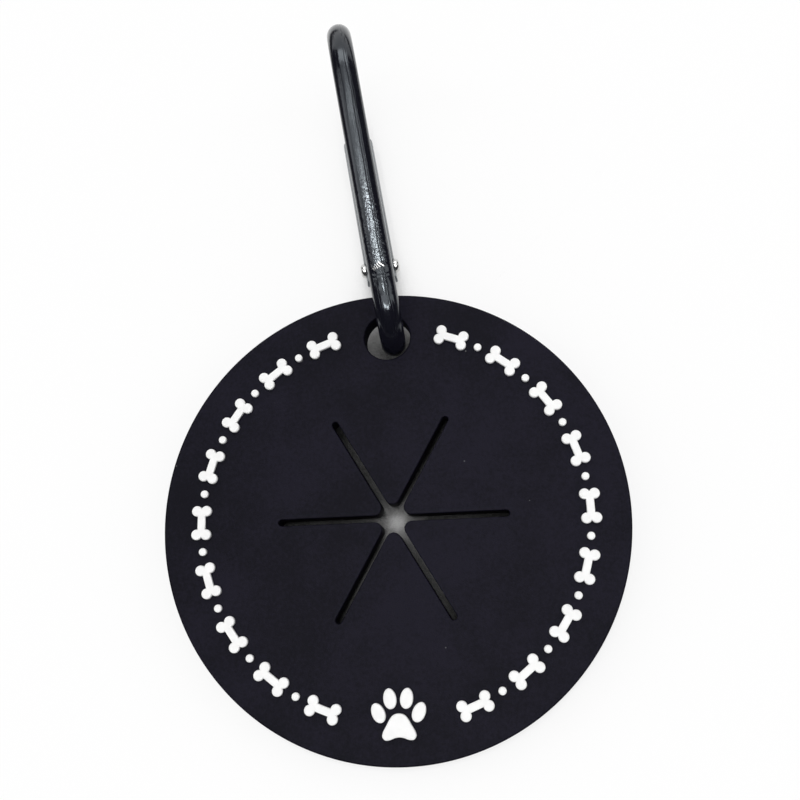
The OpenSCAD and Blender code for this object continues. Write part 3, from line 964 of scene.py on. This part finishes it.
def cut_away(piece, shapes):
    """Takes each shape away from the piece, and keeps the result as a plain mesh."""
    cutters = []
    for i, (corners, sides) in enumerate(shapes):
        cutter = make_piece(f"cutter_{i}", corners, sides, still_in_mm)
        edit = bmesh.new()
        edit.from_mesh(cutter.data)
        bmesh.ops.recalc_face_normals(edit, faces=edit.faces)
        edit.to_mesh(cutter.data)
        edit.free()
        modifier = piece.modifiers.new(f"cut_{i}", "BOOLEAN")
        modifier.operation, modifier.object, modifier.solver = "DIFFERENCE", cutter, "EXACT"
        cutters.append(cutter)
    mesh = plain_mesh(piece)
    piece.modifiers.clear()
    piece.data = mesh
    for cutter in cutters:
        bpy.data.objects.remove(cutter)


# %% Cut the tongues
HINGE_X, LATCH_X = 12.4, 41.7
HINGE_HOLE_R, NOTCH_R = 1.05, 0.9
WIDE, TALL = 4, 5
# Each tongue: where it starts and ends, its thickness and its height.
TONGUES = ((SHOULDER, 20, 2.4, 4.6), (30, NOSE, 2.2, 4.4))

shapes = []
for low_x, high_x, thick, high in TONGUES:
    shapes.append(slab((low_x, GATE_Y - WIDE, thick / 2), (high_x, GATE_Y + WIDE, TALL)))
    shapes.append(slab((low_x, GATE_Y - WIDE, -TALL), (high_x, GATE_Y + WIDE, -thick / 2)))
    shapes.append(slab((low_x, GATE_Y + high / 2, -TALL), (high_x, GATE_Y + WIDE, TALL)))
    shapes.append(slab((low_x, GATE_Y - WIDE, -TALL), (high_x, GATE_Y - high / 2, TALL)))
shapes.append(pin_cutter(HINGE_X, HINGE_HOLE_R))
shapes.append(pin_cutter(LATCH_X, NOTCH_R))
shapes.append(slab((LATCH_X - NOTCH_R, GATE_Y, -TALL), (LATCH_X + NOTCH_R, GATE_Y + WIDE, TALL)))
cut_away(rod, shapes)
print("rod after the cuts:", len(rod.data.polygons), "faces")

# %% [markdown]
# The finish needs to know how far along the rod each point lies, and how far round it.
# The nearest station on the centre line answers both, also for the points
# that the cuts made. The numbers go into a UV map, in metres.


# %% Lay a UV map along the rod
def along_and_round(p):
    """Length along the rod and round it, in millimetres, for a point near its surface."""
    best = min(rod_stations, key=lambda s: (s[0] - p.x) ** 2 + (s[1] - p.y) ** 2)
    h = math.radians(best[2])
    out = -(p.x - best[0]) * math.sin(h) + (p.y - best[1]) * math.cos(h)
    return best[3], ROD_R * math.atan2(p.z, out)


def lay_uv(mesh, rule):
    """A UV map from a rule on each point, in metres."""
    layer = mesh.uv_layers.new(name="along_round")
    spots = [rule(v.co) for v in mesh.vertices]
    for loop in mesh.loops:
        a, b = spots[loop.vertex_index]
        layer.data[loop.index].uv = (a * MM, b * MM)
    print("map on", len(spots), "points")


lay_uv(rod.data, along_and_round)

# %% [markdown]
# The press also left five short streaks of bare metal, side by side above the crease. They
# are too thin for the rod's faces to show as shapes, so each point is told how bare it is,
# and the finish turns bare points into plain metal.

# %% The streaks that the press left
# Each streak: its two ends as (sideways, distance up the spine), and its half width.
STREAKS = (
    (-0.12, 6.66, 0.78, 5.68, 0.14),
    (-0.49, 6.41, 0.03, 5.63, 0.075),
    (-0.72, 6.11, -0.43, 5.40, 0.065),
    (-1.07, 5.93, -0.87, 5.30, 0.055),
    (-1.37, 5.73, -1.13, 5.18, 0.05),
)
STREAKS_AT, STREAKS_REACH = 6, 2


def worn_at(distance, sideways):
    """How bare the metal is, from 0 to 1, at a place on the spine's outer side."""
    most = 0.0
    here = Vector((sideways, distance))
    for x0, y0, x1, y1, wide in STREAKS:
        first, last = Vector((x0, y0)), Vector((x1, y1))
        way = last - first
        t = min(1, max(0, (here - first).dot(way) / way.length_squared))
        gap = (here - first - way * t).length
        most = max(most, 1 - ease(gap, 0.45 * wide, 1.1 * wide))
    return most


worn_layer = rod.data.attributes.new("worn", "FLOAT", "POINT")
for v in rod.data.vertices:
    length, around = along_and_round(v.co)
    up_spine = length - spine_from
    if abs(up_spine - STREAKS_AT) < STREAKS_REACH and abs(around) < 3:
        worn_layer.data[v.index].value = worn_at(up_spine, ROD_R * math.sin(around / ROD_R))
print("bare points:", sum(spot.value > 0.5 for spot in worn_layer.data))

# %% Put the rod in its place
rod.data.set_sharp_from_angle(angle=math.radians(32))
rod.data.transform(on_clip @ Matrix.Scale(MM, 4))
rod.data.materials.clear()
rod.data.materials.append(rod_black)
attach(rod, "carabiner")
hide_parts("carabiner_frame")

# %% [markdown]
# ## The gate
#
# The CAD gate already has the right form: a tube with a rounded nose edge and a slot at
# each end. The copy's loose triangles are merged first, and its real edges stay sharp.

# %% Gate
GATE_R = 3.25


def merged_copy(node, angle):
    """The CAD node's mesh as a new mesh of joined faces, sharp above an angle."""
    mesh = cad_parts[node].data.copy()
    edit = bmesh.new()
    edit.from_mesh(mesh)
    bmesh.ops.remove_doubles(edit, verts=edit.verts, dist=1e-7)
    edit.to_mesh(mesh)
    edit.free()
    for face in mesh.polygons:
        face.use_smooth = True
    mesh.set_sharp_from_angle(angle=math.radians(angle))
    mesh.materials.clear()
    return mesh


def along_gate(co):
    """Length along the gate and round it, in millimetres, for a point on it."""
    p = (to_clip @ co) / MM
    return p.x, GATE_R * math.atan2(p.z, p.y - GATE_Y)


gate = link_piece("gate_tube", merged_copy("gate", 30))
lay_uv(gate.data, along_gate)
gate.data.materials.append(gate_black)
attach(gate, "gate")
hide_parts("gate")
print("gate copy of", len(gate.data.polygons), "faces")

# %% [markdown]
# ## The hinge rivet
#
# The rivet's two heads show on both sides of the gate. A head that was rolled over has a
# soft crown, a small rim and a shallow dimple where the tool's point stood. It is
# a turned shape, so its half section is revolved about its own axis.

# %% The rivet's section, from the dimple to the rim
HEAD_R, HEAD_H, SHANK_R, SEAT = 1.5, 1.25, 1.0, 2.85
half = [(0.0, HEAD_H - 0.34), (0.22, HEAD_H - 0.33), (0.42, HEAD_H - 0.24), (0.56, HEAD_H - 0.10)]
half += [(0.72, HEAD_H - 0.02), (0.92, HEAD_H), (1.12, HEAD_H - 0.06), (1.30, HEAD_H - 0.20)]
half += [(1.42, HEAD_H - 0.42), (1.49, HEAD_H - 0.68), (HEAD_R, 0.22), (1.46, 0.08), (1.38, 0.0)]
section = [(r, SEAT + h) for r, h in half] + [(SHANK_R, SEAT), (SHANK_R, -SEAT)]
section += [(r, -SEAT - h) for r, h in reversed(half)]
print("section of", len(section), "points")

# %% Turn the rivet
TURN_STEPS = 48

rows = [[(*p, z) for p in circle((HINGE_X, GATE_Y), r, TURN_STEPS)] for r, z in section[1:-1]]
points, faces = flatten(rows), skin_rows(rows)
top, foot = len(points), len(points) + 1
points += [(HINGE_X, GATE_Y, section[0][1]), (HINGE_X, GATE_Y, section[-1][1])]
last = (len(rows) - 1) * TURN_STEPS
for i in range(TURN_STEPS):
    j = (i + 1) % TURN_STEPS
    faces.append((top, i, j))
    faces.append((foot, last + j, last + i))
rivet = make_piece("turned_rivet", points, faces, on_clip)
rivet.data.materials.append(steel)
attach(rivet, "gate")
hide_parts("hinge_rivet")

# %% [markdown]
# ## Small steel parts inside the gate
#
# The latch pin and the plunger keep their CAD shapes. They show only when the gate swings
# open, and the steel finish is enough for them. The return spring has to shorten as the
# plunger slides in. Here it is a merged copy of its CAD mesh, in steel.

# %% Steel on the CAD nodes that stay
for name in ("latch_pin", "spring_plunger"):
    for material_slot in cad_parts[name].material_slots:
        material_slot.material = steel
print("steel on the latch pin and the plunger")

# %% The return spring
spring = link_piece("return_spring", merged_copy("gate_spring", 50))
spring.data.materials.append(steel)
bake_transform(spring)
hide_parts("gate_spring")

# %% [markdown]
# ## Floor and backdrop
#
# The photograph's background is plain white, and only what lies under the disc is grey.
# A pale floor takes plain soft light. For the camera, for reflections and through clear
# materials, most of its colour is replaced by plain white, but not where something stands
# close above it: there the floor has painted shade, as in the slits. Its ambient occlusion
# tells the two apart, darkens the floor's own colour and lowers its white share. The world
# round it is pale and even, and white in the same rays.


# %% Helpers for the stage
def plane(name, corners):
    """A flat plane of one face, linked into the scene."""
    mesh = bpy.data.meshes.new(name)
    mesh.from_pydata(corners, [], [tuple(range(len(corners)))])
    stage = link_piece(name, mesh)
    return stage


def seen_rays(tree):
    """1 in rays of the camera, of reflections and of clear materials, otherwise 0."""
    rays = add_node(tree, "ShaderNodeLightPath").outputs
    seen = maths(tree, "MAXIMUM", rays["Is Camera Ray"], rays["Is Transmission Ray"])
    return maths(tree, "MAXIMUM", seen, rays["Is Glossy Ray"])


def mixed_output(tree, kind, share, first, second):
    """Ends the tree in a mix of two shaders."""
    mixed = add_node(tree, "ShaderNodeMixShader")
    output = add_node(tree, kind)
    tree.links.new(share, mixed.inputs["Fac"])
    tree.links.new(first, mixed.inputs[1])
    tree.links.new(second, mixed.inputs[2])
    tree.links.new(mixed.outputs["Shader"], output.inputs["Surface"])


# %% Floor
FLOOR_HALF = 3.0
# PAPER_IN_SHADE is painted shade: the floor's own colour where something stands close above it.
PLAIN_WHITE, PAPER, PAPER_IN_SHADE = (1, 1, 1, 1), (0.94, 0.94, 0.94, 1), (0.05, 0.05, 0.05, 1)
SHADE_REACH, DARKEST_AT, CLEAR_AT = 0.03, 0.16, 0.58
WHITE_SHARE = 0.8

corners = [(x * FLOOR_HALF, y * FLOOR_HALF, 0) for x, y in ((-1, -1), (1, -1), (1, 1), (-1, 1))]
floor = plane("floor", corners)
paper = bpy.data.materials.new("pale_paper")
paper.use_nodes = True
tree = paper.node_tree
tree.nodes.clear()
open_sky = add_node(tree, "ShaderNodeAmbientOcclusion", samples=16, Distance=SHADE_REACH)
# Painted shade: where ambient occlusion finds something close above, the floor's colour goes
# towards near black and its white share falls.
clear = spread(tree, open_sky.outputs["AO"], DARKEST_AT, CLEAR_AT, 0, 1)
matt = add_node(tree, "ShaderNodeBsdfDiffuse")
tree.links.new(mix(tree, "RGBA", clear, PAPER_IN_SHADE, PAPER), matt.inputs["Color"])
bright = add_node(tree, "ShaderNodeEmission", Color=PLAIN_WHITE, Strength=1.0)
share = maths(tree, "MULTIPLY", seen_rays(tree), spread(tree, clear, 0, 1, 0, WHITE_SHARE))
mixed_output(
    tree, "ShaderNodeOutputMaterial", share, matt.outputs["BSDF"], bright.outputs["Emission"]
)
floor.data.materials.append(paper)
print("floor of", len(tree.nodes), "nodes")

# %% World
ROOM_STRENGTH, BACKDROP_STRENGTH = 0.7, 1.0

world = bpy.data.worlds.new("pale_room")
bpy.context.scene.world = world
world.use_nodes = True
tree = world.node_tree
tree.nodes.clear()
room, backdrop = (
    add_node(tree, "ShaderNodeBackground", Color=PLAIN_WHITE, Strength=strength)
    for strength in (ROOM_STRENGTH, BACKDROP_STRENGTH)
)
mixed_output(
    tree, "ShaderNodeOutputWorld", seen_rays(tree),
    room.outputs["Background"], backdrop.outputs["Background"],
)
print("world strength", ROOM_STRENGTH)

# %% [markdown]
# ## Lamps and cards
#
# Five soft lamps light the set. Two broad ones stand at the sides, and three hang above,
# where the rod's bends and its spine mirror them. Cards stand around, seen in reflections
# alone, as a photographer sets them: dark ones draw the edges of a glossy black part, two
# bright ones the spots on its neck, and a pale one behind lights its upper side.

# %% Lamps
# Each lamp: its place, the point that it faces, its two sides in metres, and its watts.
LAMPS = {
    "long_lamp": ((-0.05, 0.15, 0.85), (-0.05, 0.149, 0), (0.36, 0.21), 0.17),
    "left_lamp": ((-1.0, 0.2, 0.6), (0, 0.03, 0), (0.27, 0.8), 1.1),
    "right_lamp": ((1.0, 0.2, 0.6), (0, 0.03, 0), (0.27, 0.8), 1.1),
    "small_lamp": ((0.03, 0.09, 0.84), (0.03, 0.089, 0), (0.12, 0.07), 0.8),
    "neck_lamp": ((0, -0.13, 0.85), (0, -0.129, 0), (1.3, 0.28), 1.45),
}
for name, (spot, target, size, power) in LAMPS.items():
    data = bpy.data.lights.new(name, "AREA")
    data.shape, data.size, data.size_y, data.energy = "RECTANGLE", *size, power
    lamp = bpy.data.objects.new(name, data)
    lamp.location = spot
    aim = Vector(target) - Vector(spot)
    lamp.rotation_euler = aim.to_track_quat("-Z", "Y").to_euler()
    bpy.context.scene.collection.objects.link(lamp)
print(len(LAMPS), "soft lamps")

# %% The cards' finishes
CARD_BLACK, CARD_GREY = (0.01, 0.01, 0.01, 1), (0.8, 0.8, 0.8, 1)
BRIGHT, PALE = 15.0, 3.0

card_dark = start_material("dark_card", CARD_BLACK, 0.9)[0]
bright_paper, pale_paper = (
    start_material(
        name, CARD_GREY, 0.5, Emission_Color=PLAIN_WHITE, Emission_Strength=strength
    )[0]
    for name, strength in (("bright_card", BRIGHT), ("pale_card", PALE))
)
print("three card finishes")


# %% The cards' places
def card_corners(x, y, z):
    """Corners of a card whose height goes from its first y to its second."""
    return [(x[0], y[0], z[0]), (x[1], y[0], z[0]), (x[1], y[1], z[1]), (x[0], y[1], z[1])]


def side_card(side):
    """Corners of a card that leans over the set, from the left (-1) or the right (1)."""
    foot, head = 1.5 * side, 0.8 * side
    return [(foot, -1.2, 0.0), (foot, 1.2, 0.0), (head, 1.2, 1.2), (head, -1.2, 1.2)]


LOW, HIGH = (0.001, 0.001), (0.84, 0.84)
cards = (
    ("left", side_card(-1), card_dark),
    ("right", side_card(1), card_dark),
    ("front", card_corners((-1.3, 1.3), (-0.9, -0.46), (0.0, 0.86)), card_dark),
    ("low_left", card_corners((-1.5, -0.05), (-0.9, 0.9), LOW), card_dark),
    ("low_right", card_corners((1.5, 0.05), (-0.9, 0.9), LOW), card_dark),
    ("low_front", card_corners((-0.05, 0.05), (-0.9, -0.09), LOW), card_dark),
    ("bright_left", card_corners((-0.36, -0.05), (-0.44, -0.29), HIGH), bright_paper),
    ("bright_right", card_corners((0.07, 0.38), (-0.44, -0.29), HIGH), bright_paper),
    ("pale_back", card_corners((-0.6, 0.6), (0.42, 0.85), (0.84, 0.8)), pale_paper),
)
for name, corners, finish in cards:
    card = plane(f"card_{name}", corners)
    card.data.materials.append(finish)
    card.visible_camera = card.visible_diffuse = card.visible_shadow = False
    card.visible_transmission = False
print(len(cards), "cards")

# %% [markdown]
# ## Close the lesson
#
# The picture's colours are left as they are, with no film look.

bpy.context.scene.view_settings.view_transform = "Standard"
